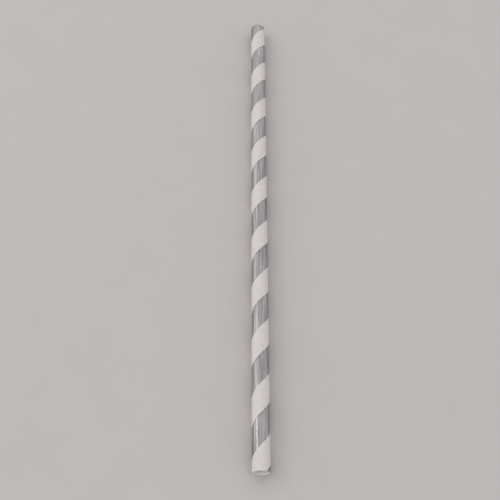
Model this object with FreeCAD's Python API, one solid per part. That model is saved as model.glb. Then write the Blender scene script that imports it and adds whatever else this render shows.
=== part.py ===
import FreeCAD, Part
import math
import os

from FreeCAD import Vector

# Paper drinking straw, wound on the slant from strips of paper, with one
# silver foil stripe that runs round it. It lies along Y, on a small flat.

# straw
straw_length = 197.0
outer_radius = 3.0
bore_radius = 2.6

# strip of white paper wound round the outside, edge to edge
wind_lead = 20.46
outer_ply = 0.20
butt_gap = 0.10
white_middle_on_top_line = 3.07

# foil stripe, let into one side of the strip, up to the seam
foil_width = 10.23
foil_thickness = 0.10

# flat that the straw lies on
rest_flat_width = 1.0

core_radius = outer_radius - outer_ply
foil_radius = outer_radius - foil_thickness
strip_width = wind_lead - butt_gap
white_width = strip_width - foil_width
strip_start = white_middle_on_top_line - white_width / 2 - 0.75 * wind_lead
half_flat = rest_flat_width / 2
flat_height = math.sqrt(outer_radius ** 2 - half_flat ** 2)
tool_size = 4 * outer_radius


def winding_line(radius):
    """Helix over the whole length and two turns beyond each end, one edge to a turn."""
    turns = math.ceil(straw_length / wind_lead) + 4
    helix = Part.makeHelix(wind_lead, turns * wind_lead, radius).Edges[0]
    turn = (helix.LastParameter - helix.FirstParameter) / turns
    ends = [helix.FirstParameter + turn * number for number in range(1, turns)]
    return Part.Wire(helix.split(ends).Edges)


def wound_strip(section, start):
    """Wind a section of (radius, height) corners round the axis, over the whole length."""
    radii = [radius for radius, height in section]
    line = winding_line((min(radii) + max(radii)) / 2)
    corners = [Vector(radius, 0, height) for radius, height in section]
    profile = Part.makePolygon(corners + corners[:1])
    strip = line.makePipeShell([profile], True, True)
    first_turn = start % wind_lead - 3 * wind_lead
    strip.translate(Vector(0, 0, first_turn))
    corner = Vector(-tool_size / 2, -tool_size / 2, 0)
    between_ends = Part.makeBox(tool_size, tool_size, straw_length, corner)
    return strip.common(between_ends)


def with_flat(shape):
    """Take the resting flat off the side that faces the table."""
    corner = Vector(-tool_size / 2, flat_height, -1)
    below_table = Part.makeBox(tool_size, tool_size, straw_length + 2, corner)
    return shape.cut(below_table)


def laid_down(solids):
    """Lay the straw along Y, its middle over the origin and its flat at the table."""
    laid = Part.makeCompound(solids)
    laid.rotate(Vector(0, 0, 0), Vector(1, 0, 0), -90)
    laid.translate(Vector(0, -straw_length / 2, flat_height))
    return laid


# inner plies
core = Part.makeCylinder(core_radius, straw_length)
core = core.cut(Part.makeCylinder(bore_radius, straw_length))

# outer ply, stepped down where the foil lies
strip_section = [
    (core_radius, 0),
    (core_radius, strip_width),
    (foil_radius, strip_width),
    (foil_radius, white_width),
    (outer_radius, white_width),
    (outer_radius, 0),
]
outer_strip = with_flat(wound_strip(strip_section, strip_start))

# foil stripe
foil_section = [
    (foil_radius, 0),
    (foil_radius, foil_width),
    (outer_radius, foil_width),
    (outer_radius, 0),
]
foil = with_flat(wound_strip(foil_section, strip_start + white_width))

os.makedirs("parts", exist_ok=True)
laid_down(core.Solids + outer_strip.Solids).exportStep("parts/paper_tube.step")
laid_down(foil.Solids).exportStep("parts/foil_stripe.step")
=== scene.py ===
import math

import bmesh
import bpy
import numpy as np
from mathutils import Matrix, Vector


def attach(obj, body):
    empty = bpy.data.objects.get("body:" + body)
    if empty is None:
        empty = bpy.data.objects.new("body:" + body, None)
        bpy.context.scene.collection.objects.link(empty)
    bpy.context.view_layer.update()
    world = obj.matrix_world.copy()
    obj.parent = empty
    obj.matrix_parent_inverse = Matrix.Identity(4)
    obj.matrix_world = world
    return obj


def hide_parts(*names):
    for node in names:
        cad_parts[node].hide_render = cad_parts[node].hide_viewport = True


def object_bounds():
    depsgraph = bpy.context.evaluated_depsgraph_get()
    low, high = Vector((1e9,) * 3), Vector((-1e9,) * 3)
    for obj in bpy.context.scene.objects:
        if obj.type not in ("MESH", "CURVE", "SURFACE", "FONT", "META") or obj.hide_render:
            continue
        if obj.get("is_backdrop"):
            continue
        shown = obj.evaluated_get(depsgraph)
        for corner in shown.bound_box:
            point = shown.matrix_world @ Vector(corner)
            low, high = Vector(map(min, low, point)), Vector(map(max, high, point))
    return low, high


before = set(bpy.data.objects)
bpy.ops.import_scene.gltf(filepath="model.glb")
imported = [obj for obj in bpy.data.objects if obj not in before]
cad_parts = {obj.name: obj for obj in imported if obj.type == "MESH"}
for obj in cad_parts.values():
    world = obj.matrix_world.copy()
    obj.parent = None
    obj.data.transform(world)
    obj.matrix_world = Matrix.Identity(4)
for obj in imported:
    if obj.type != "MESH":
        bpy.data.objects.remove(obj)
size_at_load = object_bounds()

# Paper drinking straw, wound on the slant from white paper with one silver foil stripe.
# It is built round its winding axis in millimetres, and then laid on the table in metres.
MM = 0.001
TURN = 2 * math.pi

# straw: length, radii of the bore and the plies, the flat it rests on and the height of its axis
LENGTH = 197.0
RADIUS = 3.0
BORE = 2.6
CORE = 2.8
FLAT = 1.0
CENTRE = math.sqrt(RADIUS**2 - (FLAT / 2) ** 2)

# strip of the outer ply, measured along the straw: white, then foil, then the gap of the seam
LEAD = 20.46
GAP = 0.10
FOIL_WIDTH = 10.23
FOIL_RADIUS = 2.9
FOIL_CLEARANCE = 0.004
SEAM_FLOOR = CORE + 0.02
STRIP = LEAD - GAP
WHITE = STRIP - FOIL_WIDTH

# the first white field has its middle here on the straw's top line, TOP of a turn round
WHITE_MIDDLE = 3.07
TOP = 0.75
START = WHITE_MIDDLE - WHITE / 2 - TOP * LEAD

# seam of the inner ply in the bore: its width, its radius, and the length of the step at its end
BORE_SEAM_WIDTH = 0.25
BORE_SEAM_RADIUS = BORE + 0.06
BORE_SEAM_END = 0.001

# mesh: columns to a turn and rows over the parts of a lead
COLUMNS = 192
BORE_COLUMNS = 96
WHITE_ROWS = 20
STEP_ROWS = 4
FOIL_ROWS = 22
UNDERSIDE_ROWS = 2
BORE_ROWS = 20
SHARP_ANGLE = math.radians(35)

# trimming of both ends, and extra loops near them
TURNS_BEYOND = 3
END_LOOPS = (0.12, 0.4)
END_REACH = 2.5
ON_PLANE = 1e-4

# radii halfway through the wall and halfway through the foil
WALL_MIDDLE = 2.75
FOIL_MIDDLE = 2.95

# heights of the relief, and how far the whole surface is sunk to leave room for it
DENT = 0.006
BROAD = 0.0035
PAPER_FINE = 0.0010
FOIL_FINE = 0.0025
FOIL_BROAD = 0.0030
PAPER_SUNK = 0.012
FOIL_SUNK = 0.010

# how fast the relief's lines change along the straw, and from one turn of the foil to the next
DENT_DRIFT = 0.035
BROAD_DRIFT = 0.03
FINE_DRIFT = 0.02
TURN_SHIFT = 1.3

# radii where the relief begins, outwards and inwards, the way to its full height, and the bore's share
OUTSIDE_FROM = 2.84
BORE_UP_TO = 2.70
FADE = 0.05
BORE_SHARE = 0.4

# edges of the cut ends: how far they round off, and over what length
OUTER_LIP = 0.035
BORE_LIP = 0.02
LIP_LENGTH = 0.12

# rings of the cut ends, as radius and depth, with a dip where plies meet
END_RINGS = ((2.815, 0.004), (2.80, 0.03), (2.785, 0.004), (2.715, 0.004), (2.70, 0.025), (2.685, 0.004))
END_ROUGHNESS = 0.012

# radii between which the bore's paper, painted paler as painted light in its shade, turns into the
# outside's
BORE_PAINTED_LIGHT_UP_TO = 2.66
OUTSIDE_COLOUR_FROM = 2.78

# step in the noise from one turn of the foil to the next, so that no two fields look alike
NOISE_STEP = 9.1

rng = np.random.default_rng(7)


def waves(count, low, high, seed):
    """Random waves over the turn, as wave numbers, heights, phases and slopes."""
    r = np.random.default_rng(seed)
    number = np.arange(low, high + 1)
    number = r.choice(number, size=min(count, len(number)), replace=False)
    size = len(number)
    return number, r.normal(size=size), r.uniform(0, TURN, size), r.normal(size=size)


FINE_WAVES = waves(26, 18, 70, 3)
BROAD_WAVES = waves(7, 3, 12, 5)
DENT_WAVES = waves(6, 1, 5, 11)


def lines_along(theta, z, spec, drift, turn=0.0):
    """Lines along the straw: they change over the turn, slowly along z, and with the strip's turn."""
    out = np.zeros_like(theta)
    for index, (number, height, phase, slope) in enumerate(zip(*spec)):
        out += height * np.cos(number * theta + phase + drift * slope * z + turn * (TURN_SHIFT + index))
    return out / math.sqrt(len(spec[0]) / 2)


def strip_turn(theta, z):
    """Number of the strip's turn that covers a point."""
    return np.floor((z - START - LEAD * theta / TURN) / LEAD)


def relief(theta, z, on_foil):
    """Height over the plain cylinder."""
    turn = strip_turn(theta, z) if on_foil else 0.0
    fine = lines_along(theta, z, FINE_WAVES, FINE_DRIFT, turn)
    broad = lines_along(theta, z, BROAD_WAVES, BROAD_DRIFT)
    dent = lines_along(theta, z, DENT_WAVES, DENT_DRIFT)
    height = DENT * dent + BROAD * broad
    if on_foil:
        return height + (FOIL_FINE * fine + FOIL_BROAD * broad)
    return height + PAPER_FINE * fine


def evenly(low, high, count):
    """Places from low to high in equal steps."""
    return list(np.linspace(low, high, count + 1))


def wound_skin(columns, section):
    """Skin wound on a helix, each turn joined to the next. The section is (place, radius) rows."""
    rows = len(section)
    place = np.array([p[0] for p in section])
    radius = np.array([p[1] for p in section])
    turns = int(LENGTH / LEAD) + 2 * TURNS_BEYOND
    row = np.arange(turns * rows + 1)
    column = np.arange(columns)
    z = START % LEAD + LEAD * (row // rows - TURNS_BEYOND)[:, None]
    z = z + place[row % rows][:, None] + LEAD * column[None, :] / columns
    rad = np.broadcast_to(radius[row % rows][:, None], z.shape)
    theta = np.broadcast_to((TURN * column / columns)[None, :], z.shape)
    verts = np.stack([rad * np.cos(theta), rad * np.sin(theta), z], -1).reshape(-1, 3)
    a = row[:-1, None] * columns + column[None, :]
    step = np.where(column == columns - 1, rows * columns - (columns - 1), 1)
    b = a + step[None, :]
    whole = b + columns < len(verts)
    faces = np.stack([a, b, b + columns, a + columns], -1)[whole]
    return verts, faces


def wound_ribbon(columns, outer, inner):
    """Closed ribbon wound on a helix. Outer and inner are (place, radius) rows."""
    section = outer + inner[::-1]
    corners = len(section)
    place = np.array([p[0] for p in section])
    radius = np.array([p[1] for p in section])
    turns = int(LENGTH / LEAD) + 2 * TURNS_BEYOND
    step = np.arange(turns * columns + 1)
    theta = TURN * step / columns
    z = START % LEAD - LEAD * TURNS_BEYOND + LEAD * step / columns
    z = z[:, None] + place[None, :]
    x = radius[None, :] * np.cos(theta)[:, None]
    y = radius[None, :] * np.sin(theta)[:, None]
    verts = np.stack([x, y, z], -1).reshape(-1, 3)
    corner = np.arange(corners)
    a = step[:-1, None] * corners + corner[None, :]
    b = step[:-1, None] * corners + ((corner + 1) % corners)[None, :]
    faces = np.stack([a, a + corners, b + corners, b], -1).reshape(-1, 4)
    return verts, faces


def trimmed(verts, faces):
    """The mesh cut square at both ends, with extra loops near them."""
    mesh = bpy.data.meshes.new("grid")
    mesh.from_pydata(verts.tolist(), [], faces.tolist())
    bm = bmesh.new()
    bm.from_mesh(mesh)
    bpy.data.meshes.remove(mesh)
    for z, side in ((0.0, -1), (LENGTH, 1)):
        geom = bm.verts[:] + bm.edges[:] + bm.faces[:]
        bmesh.ops.bisect_plane(
            bm, geom=geom, dist=1e-6, plane_co=(0, 0, z), plane_no=(0, 0, side), clear_outer=True
        )
    for inward in END_LOOPS:
        for z in (inward, LENGTH - inward):
            near = [f for f in bm.faces if abs(f.calc_center_median().z - z) < END_REACH]
            edges = {e for f in near for e in f.edges}
            corners = {v for f in near for v in f.verts}
            geom = list(corners) + list(edges) + near
            bmesh.ops.bisect_plane(bm, geom=geom, dist=1e-6, plane_co=(0, 0, z), plane_no=(0, 0, 1))
    loose = [v for v in bm.verts if not v.link_faces]
    bmesh.ops.delete(bm, geom=loose, context="VERTS")
    return bm


def end_edges(bm, z):
    """Open edges that lie on the plane of an end."""
    return [e for e in bm.edges if e.is_boundary and all(abs(v.co.z - z) < ON_PLANE for v in e.verts)]


def chain(edges):
    """Vertices of connected edges in order, closed or open."""
    links = {}
    for e in edges:
        for v, w in (e.verts, reversed(e.verts)):
            links.setdefault(v, []).append(w)
    start = next((v for v in links if len(links[v]) == 1), next(iter(links)))
    order, seen = [start], {start}
    while True:
        step = [w for w in links[order[-1]] if w not in seen]
        if not step:
            return order
        order.append(step[0])
        seen.add(step[0])


def in_turning_order(verts, closed):
    """The vertices in order of rising angle, with their angles."""
    angles = [math.atan2(v.co.y, v.co.x) % TURN for v in verts]
    rise = sum((b - a + math.pi) % TURN - math.pi for a, b in zip(angles, angles[1:]))
    if rise < 0:
        verts, angles = verts[::-1], angles[::-1]
    if closed:
        first = min(range(len(verts)), key=lambda k: (angles[k], k))
        verts = verts[first:] + verts[:first]
        angles = angles[first:] + angles[:first]
    rising = [angles[0]]
    for angle in angles[1:]:
        rising.append(rising[-1] + (angle - rising[-1] + math.pi) % TURN - math.pi)
    return verts, rising


def zipped(bm, first, second, closed=True):
    """Triangles between two rows of vertices that run round the straw."""
    a, a_angles = in_turning_order(first, closed)
    b, b_angles = in_turning_order(second, closed)
    if closed:
        a, a_angles = a + a[:1], a_angles + [a_angles[0] + TURN]
        b, b_angles = b + b[:1], b_angles + [b_angles[0] + TURN]
    i = j = 0
    while i < len(a) - 1 or j < len(b) - 1:
        step_a = j == len(b) - 1 or (i < len(a) - 1 and a_angles[i + 1] <= b_angles[j + 1])
        third = a[i + 1] if step_a else b[j + 1]
        bm.faces.new((a[i], b[j], third))
        i, j = (i + 1, j) if step_a else (i, j + 1)


def end_ring(bm, radius, z, offsets):
    """One ring of a cut end, moved along the straw by its offsets."""
    made = []
    for k, offset in enumerate(offsets):
        theta = TURN * k / len(offsets)
        made.append(bm.verts.new((radius * math.cos(theta), radius * math.sin(theta), z + offset)))
    return made


def placed(x, y, z):
    """From the winding axis to the straw as it lies on the table, in metres."""
    return np.stack([x, z - LENGTH / 2, np.maximum(CENTRE - y, 0.0)], -1) * MM


def paper_radius(rad, theta, z, lip):
    """Radius of the paper with its relief, outside and in the bore."""
    height = relief(theta, z, False)
    outside = np.clip((rad - OUTSIDE_FROM) / FADE, 0, 1)
    bore = np.clip((BORE_UP_TO - rad) / FADE, 0, 1)
    rad = rad + outside * (height - OUTER_LIP * lip - PAPER_SUNK)
    return rad + bore * (BORE_SHARE * height + BORE_LIP * lip)


def foil_radius(rad, theta, z, lip):
    """Radius of the foil with its relief, on its face and its underside."""
    face = relief(theta, z, True) - OUTER_LIP * lip - FOIL_SUNK
    underside = relief(theta, z, False) - PAPER_SUNK
    return rad + np.where(rad > FOIL_MIDDLE, face, underside)


def finished(bm, name, new_radius):
    """Object with its relief and its rounded ends, lying on the table."""
    mesh = bpy.data.meshes.new(name)
    bmesh.ops.recalc_face_normals(bm, faces=bm.faces[:])
    bm.to_mesh(mesh)
    bm.free()
    co = np.zeros(len(mesh.vertices) * 3)
    mesh.vertices.foreach_get("co", co)
    x, y, z = co.reshape(-1, 3).T
    theta = np.mod(np.arctan2(y, x), TURN)
    from_end = np.minimum(z, LENGTH - z)
    lip = np.exp(-np.clip(from_end, 0, None) / LIP_LENGTH)
    rad = new_radius(np.hypot(x, y), theta, z, lip)
    co = placed(rad * np.cos(theta), rad * np.sin(theta), z)
    mesh.vertices.foreach_set("co", co.astype(np.float32).ravel())
    mesh.update()
    mesh.polygons.foreach_set("use_smooth", np.ones(len(mesh.polygons), bool))
    mesh.set_sharp_from_angle(angle=SHARP_ANGLE)
    ob = bpy.data.objects.new(name, mesh)
    bpy.context.scene.collection.objects.link(ob)
    return ob


def add_bore(bm):
    """The bore's skin, joined into the same mesh."""
    section = [(place, BORE) for place in evenly(0, LEAD - BORE_SEAM_WIDTH, BORE_ROWS)]
    section += [(LEAD - BORE_SEAM_WIDTH, BORE_SEAM_RADIUS), (LEAD - BORE_SEAM_END, BORE_SEAM_RADIUS)]
    bore = trimmed(*wound_skin(BORE_COLUMNS, section))
    mesh = bpy.data.meshes.new("bore")
    bore.to_mesh(mesh)
    bore.free()
    bm.from_mesh(mesh)
    bpy.data.meshes.remove(mesh)


def close_ends(bm):
    """Cut ends between the outside and the bore, a little uneven."""
    for z, inward in ((0.0, 1), (LENGTH, -1)):
        found = end_edges(bm, z)
        previous = chain([e for e in found if e.verts[0].co.xy.length > WALL_MIDDLE])
        last = chain([e for e in found if e.verts[0].co.xy.length <= WALL_MIDDLE])
        for radius, depth in END_RINGS:
            offsets = inward * (depth + END_ROUGHNESS * rng.random(COLUMNS))
            ring = end_ring(bm, radius, z, offsets)
            zipped(bm, previous, ring)
            previous = ring
        zipped(bm, previous, last)


def paper_tube():
    """Tube with its outer strip: white, the step for the foil, and the seam."""
    section = [(place, RADIUS) for place in evenly(0, WHITE, WHITE_ROWS)]
    section += [(place, FOIL_RADIUS) for place in evenly(WHITE, STRIP, STEP_ROWS)]
    section += [(STRIP, SEAM_FLOOR), (LEAD, SEAM_FLOOR)]
    bm = trimmed(*wound_skin(COLUMNS, section))
    add_bore(bm)
    close_ends(bm)
    return finished(bm, "paper_tube_visual", paper_radius)


def foil_stripe():
    """Foil as a thin closed ribbon that lies in the step, a few microns clear of it."""
    sides = (WHITE + FOIL_CLEARANCE, STRIP - FOIL_CLEARANCE)
    face = [(place, RADIUS) for place in evenly(*sides, FOIL_ROWS)]
    underside = [(place, FOIL_RADIUS + FOIL_CLEARANCE) for place in evenly(*sides, UNDERSIDE_ROWS)]
    bm = trimmed(*wound_ribbon(COLUMNS, face, underside))
    for z in (0.0, LENGTH):
        loop = chain(end_edges(bm, z))
        high = [v.co.xy.length > FOIL_MIDDLE for v in loop]
        first = next(k for k in range(len(loop)) if high[k] and not high[k - 1])
        loop = loop[first:] + loop[:first]
        upper = [v for v in loop if v.co.xy.length > FOIL_MIDDLE]
        lower = [v for v in loop if v.co.xy.length <= FOIL_MIDDLE]
        zipped(bm, upper, lower, closed=False)
    return finished(bm, "foil_stripe_visual", foil_radius)


def new_material(name):
    """Material with its node tree and its shader node."""
    mat = bpy.data.materials.new(name)
    mat.use_nodes = True
    nt = mat.node_tree
    nt.nodes.clear()
    out = nt.nodes.new("ShaderNodeOutputMaterial")
    bsdf = nt.nodes.new("ShaderNodeBsdfPrincipled")
    nt.links.new(bsdf.outputs[0], out.inputs["Surface"])
    return mat, nt, bsdf


def math_node(nt, operation, *values):
    """Math node whose inputs are numbers or the outputs of other nodes."""
    n = nt.nodes.new("ShaderNodeMath")
    n.operation = operation
    for socket, value in zip(n.inputs, values):
        if isinstance(value, (int, float)):
            socket.default_value = value
        else:
            nt.links.new(value, socket)
    return n.outputs[0]


def object_place(nt):
    """Place on the piece, in metres."""
    return nt.nodes.new("ShaderNodeTexCoord").outputs["Object"]


def straw_axes(nt):
    """Distance across, along and up from the straw's axis, in metres."""
    sep = nt.nodes.new("ShaderNodeSeparateXYZ")
    nt.links.new(object_place(nt), sep.inputs[0])
    up = math_node(nt, "SUBTRACT", sep.outputs["Z"], CENTRE * MM)
    return sep.outputs["X"], sep.outputs["Y"], up


def wall_place(nt, axes, stretch):
    """Place on the straw's wall, with the length along it times stretch."""
    across, along, up = axes
    angle = math_node(nt, "ARCTAN2", across, up)
    place = nt.nodes.new("ShaderNodeCombineXYZ")
    for socket, part in zip(place.inputs, ("COSINE", "SINE")):
        nt.links.new(math_node(nt, "MULTIPLY", math_node(nt, part, angle), RADIUS * MM), socket)
    nt.links.new(math_node(nt, "MULTIPLY", along, stretch), place.inputs[2])
    return place.outputs[0]


def strip_place(nt, axes):
    """Distance from the start of the strip, along the straw in metres, and the number of the turn."""
    across, along, up = axes
    theta = math_node(nt, "ARCTAN2", math_node(nt, "MULTIPLY", up, -1.0), across)
    turns = math_node(nt, "DIVIDE", theta, TURN)
    from_start = math_node(nt, "ADD", along, (LENGTH / 2 - START) * MM)
    leads = math_node(nt, "DIVIDE", from_start, LEAD * MM)
    wound = math_node(nt, "SUBTRACT", leads, turns)
    place = math_node(nt, "MULTIPLY", math_node(nt, "FRACT", wound), LEAD * MM)
    return place, math_node(nt, "FLOOR", wound)


def noise(nt, vector, scale, detail, roughness, turn=None):
    """Noise at a place in metres. With a turn, each turn of the strip has its own."""
    n = nt.nodes.new("ShaderNodeTexNoise")
    if turn is not None:
        n.noise_dimensions = "4D"
        nt.links.new(turn, n.inputs["W"])
    nt.links.new(vector, n.inputs["Vector"])
    n.inputs["Scale"].default_value = scale
    n.inputs["Detail"].default_value = detail
    n.inputs["Roughness"].default_value = roughness
    return n.outputs["Fac"]


def linear(level):
    """A colour level of 0 to 255 as linear light."""
    share = level / 255
    return share / 12.92 if share <= 0.04045 else ((share + 0.055) / 1.055) ** 2.4


def ramp(nt, factor, *stops):
    """Colours at places of the factor. Each stop is a place and three levels of 0 to 255."""
    n = nt.nodes.new("ShaderNodeValToRGB")
    nt.links.new(factor, n.inputs[0])
    elements = n.color_ramp.elements
    while len(elements) < len(stops):
        elements.new(0.5)
    for element, (place, levels) in zip(elements, stops):
        element.position = place
        element.color = (*(linear(level) for level in levels), 1)
    return n.outputs[0]


def map_range(nt, value, low, high, to_low, to_high):
    """The value between low and high, mapped to lie between to_low and to_high."""
    n = nt.nodes.new("ShaderNodeMapRange")
    nt.links.new(value, n.inputs["Value"])
    n.inputs["From Min"].default_value = low
    n.inputs["From Max"].default_value = high
    n.inputs["To Min"].default_value = to_low
    n.inputs["To Max"].default_value = to_high
    return n.outputs[0]


def mixed(nt, factor, first, second):
    """First colour where the factor is 0, second where it is 1."""
    n = nt.nodes.new("ShaderNodeMixRGB")
    for socket, value in zip(n.inputs, (factor, first, second)):
        nt.links.new(value, socket)
    return n.outputs[0]


def darkened(nt, colour, amount):
    """Colour times one minus the amount."""
    n = nt.nodes.new("ShaderNodeVectorMath")
    n.operation = "SCALE"
    nt.links.new(colour, n.inputs[0])
    nt.links.new(math_node(nt, "SUBTRACT", 1.0, amount), n.inputs["Scale"])
    return n.outputs[0]


def bump(nt, height, strength, distance, normal=None):
    """Bump of a height in metres, laid over another bump if one is given."""
    n = nt.nodes.new("ShaderNodeBump")
    n.inputs["Strength"].default_value = strength
    n.inputs["Distance"].default_value = distance
    nt.links.new(height, n.inputs["Height"])
    if normal is not None:
        nt.links.new(normal, n.inputs["Normal"])
    return n.outputs[0]


def paper_material():
    """Matt, off-white paper with a mottle and fibres, painted paler in the bore as painted light in its
    shade.
    """
    mat, nt, bsdf = new_material("paper")
    place = object_place(nt)
    across, _, up = straw_axes(nt)
    mottle = noise(nt, place, scale=700, detail=4, roughness=0.6)
    fibre = noise(nt, place, scale=5200, detail=3, roughness=0.6)
    outside = ramp(nt, mottle, (0.30, (196, 190, 186)), (0.70, (208, 202, 198)))
    # painted light: the bore's paper is painted paler than the outside's, to brighten the shade inside
    # the tube
    bore = ramp(nt, mottle, (0.30, (228, 223, 219)), (0.70, (238, 234, 230)))
    squares = [math_node(nt, "MULTIPLY", v, v) for v in (across, up)]
    radius = math_node(nt, "SQRT", math_node(nt, "ADD", *squares))
    bore_painted_light = map_range(nt, radius, BORE_PAINTED_LIGHT_UP_TO * MM, OUTSIDE_COLOUR_FROM * MM, 1.0, 0.0)
    nt.links.new(mixed(nt, bore_painted_light, outside, bore), bsdf.inputs["Base Color"])
    nt.links.new(math_node(nt, "MULTIPLY_ADD", fibre, 0.15, 0.62), bsdf.inputs["Roughness"])
    bsdf.inputs["Specular IOR Level"].default_value = 0.35
    bsdf.inputs["Sheen Weight"].default_value = 0.05
    fibres = bump(nt, fibre, strength=0.35, distance=0.00002)
    uneven = bump(nt, mottle, strength=0.25, distance=0.00006, normal=fibres)
    nt.links.new(uneven, bsdf.inputs["Normal"])
    return mat


def foil_material():
    """Satin silver foil: fine streaks along the straw, bumped and with painted reflection in their
    lighter and darker colour, and painted shade in dark spots at its two edges.
    """
    mat, nt, bsdf = new_material("foil")
    axes = straw_axes(nt)
    wall = wall_place(nt, axes, stretch=0.035)
    place, number = strip_place(nt, axes)
    turn = math_node(nt, "MULTIPLY", number, NOISE_STEP)
    streak = noise(nt, wall, scale=2600, detail=2, roughness=0.5, turn=turn)
    hair = noise(nt, wall, scale=5200, detail=2, roughness=0.5, turn=turn)
    # painted reflection: the streaks' lighter and darker silver stands in for light caught by the foil's
    # creases; the bumps below give the real lines
    silver = ramp(nt, streak, (0.36, (130, 128, 128)), (0.50, (151, 149, 149)), (0.64, (174, 172, 172)))
    # painted shade: dark spots along both edges of the foil, strongest at the far edge beside the seam's
    # gap
    far_edge = map_range(nt, place, (STRIP - 1.1) * MM, (STRIP - 0.1) * MM, 0.0, 1.0)
    near_edge = map_range(nt, place, (WHITE + 0.1) * MM, (WHITE + 0.7) * MM, 0.6, 0.0)
    edges = math_node(nt, "MAXIMUM", far_edge, near_edge)
    shade_breakup = noise(nt, object_place(nt), scale=1300, detail=3, roughness=0.6)
    painted_edge_shade = math_node(nt, "MULTIPLY", edges, map_range(nt, shade_breakup, 0.44, 0.62, 0.0, 0.45))
    nt.links.new(darkened(nt, silver, painted_edge_shade), bsdf.inputs["Base Color"])
    bsdf.inputs["Metallic"].default_value = 0.70
    nt.links.new(math_node(nt, "MULTIPLY_ADD", streak, 0.10, 0.14), bsdf.inputs["Roughness"])
    streaks = bump(nt, streak, strength=0.12, distance=0.00005)
    hairs = bump(nt, hair, strength=0.12, distance=0.00002, normal=streaks)
    nt.links.new(hairs, bsdf.inputs["Normal"])
    return mat


def floor_material():
    """Plain pale table with a faint grain."""
    mat, nt, bsdf = new_material("floor")
    place = object_place(nt)
    mottle = noise(nt, place, scale=60, detail=4, roughness=0.6)
    pale = ramp(nt, mottle, (0.3, (185, 180, 179)), (0.7, (187, 182, 181)))
    nt.links.new(pale, bsdf.inputs["Base Color"])
    bsdf.inputs["Roughness"].default_value = 0.8
    bsdf.inputs["Specular IOR Level"].default_value = 0.2
    grain = noise(nt, place, scale=3000, detail=2, roughness=0.5)
    nt.links.new(bump(nt, grain, strength=0.15, distance=0.00005), bsdf.inputs["Normal"])
    return mat


def floor(half):
    """Square floor, from its middle to its edge in metres."""
    corners = [(-half, -half, 0), (half, -half, 0), (half, half, 0), (-half, half, 0)]
    mesh = bpy.data.meshes.new("floor")
    mesh.from_pydata(corners, [], [(0, 1, 2, 3)])
    mesh.materials.append(floor_material())
    ob = bpy.data.objects.new("floor", mesh)
    bpy.context.scene.collection.objects.link(ob)
    return ob


def area_lamp(name, place, aim, size, power):
    """Rectangular lamp at a place in metres, turned towards its aim."""
    light = bpy.data.lights.new(name, "AREA")
    light.shape = "RECTANGLE"
    light.size, light.size_y = size
    light.energy = power
    ob = bpy.data.objects.new(name, light)
    ob.location = place
    ob.rotation_euler = (Vector(aim) - Vector(place)).to_track_quat("-Z", "Y").to_euler()
    bpy.context.scene.collection.objects.link(ob)


def white_world(level):
    """Even white light from all sides."""
    world = bpy.data.worlds.new("world")
    bpy.context.scene.world = world
    world.use_nodes = True
    background = world.node_tree.nodes["Background"]
    background.inputs[0].default_value = (1, 1, 1, 1)
    background.inputs[1].default_value = level


def camera(elevation, aim, distance, focal_pixels, picture_width):
    """Camera in front of the straw and above it, looking at its aim in metres."""
    back = Vector((0, -math.cos(elevation), math.sin(elevation)))
    data = bpy.data.cameras.new("camera")
    data.sensor_width = 36
    data.lens = data.sensor_width * focal_pixels / picture_width
    data.clip_start = 0.01
    data.clip_end = 60
    ob = bpy.data.objects.new("camera", data)
    ob.location = aim + back * distance
    ob.rotation_euler = (-back).to_track_quat("-Z", "Y").to_euler()
    bpy.context.scene.collection.objects.link(ob)
    return ob


# the straw
paper = paper_tube()
foil = foil_stripe()
paper.data.materials.append(paper_material())
foil.data.materials.append(foil_material())
for piece, node, slot in ((paper, "paper_tube", "paper"), (foil, "foil_stripe", "foil")):
    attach(piece, "root")
    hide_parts(node)

# floor, light and camera
floor(half=20.0)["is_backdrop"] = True
area_lamp("key", place=(-3.45, 1.05, 2.04), aim=(0, 0, 0), size=(4.50, 4.50), power=30.0)
area_lamp("strip", place=(-0.586, 0.113, 0.43), aim=(0, -0.085, 0), size=(0.20, 0.012), power=0.26)
area_lamp("back", place=(0, 0.89, 0.76), aim=(0, 0.09, 0), size=(1.80, 0.26), power=0.55)
white_world(level=0.94)
aim = Vector((-3.5, -17.15, 3.0)) * MM
photo_camera = camera(math.radians(58.6), aim, distance=0.277, focal_pixels=753, picture_width=500)
bpy.context.scene.camera = photo_camera
bpy.context.scene.view_settings.view_transform = "Standard"

size_at_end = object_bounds()
for label, (low, high) in (("load", size_at_load), ("end", size_at_end)):
    low = [round(v, 6) for v in low]
    high = [round(v, 6) for v in high]
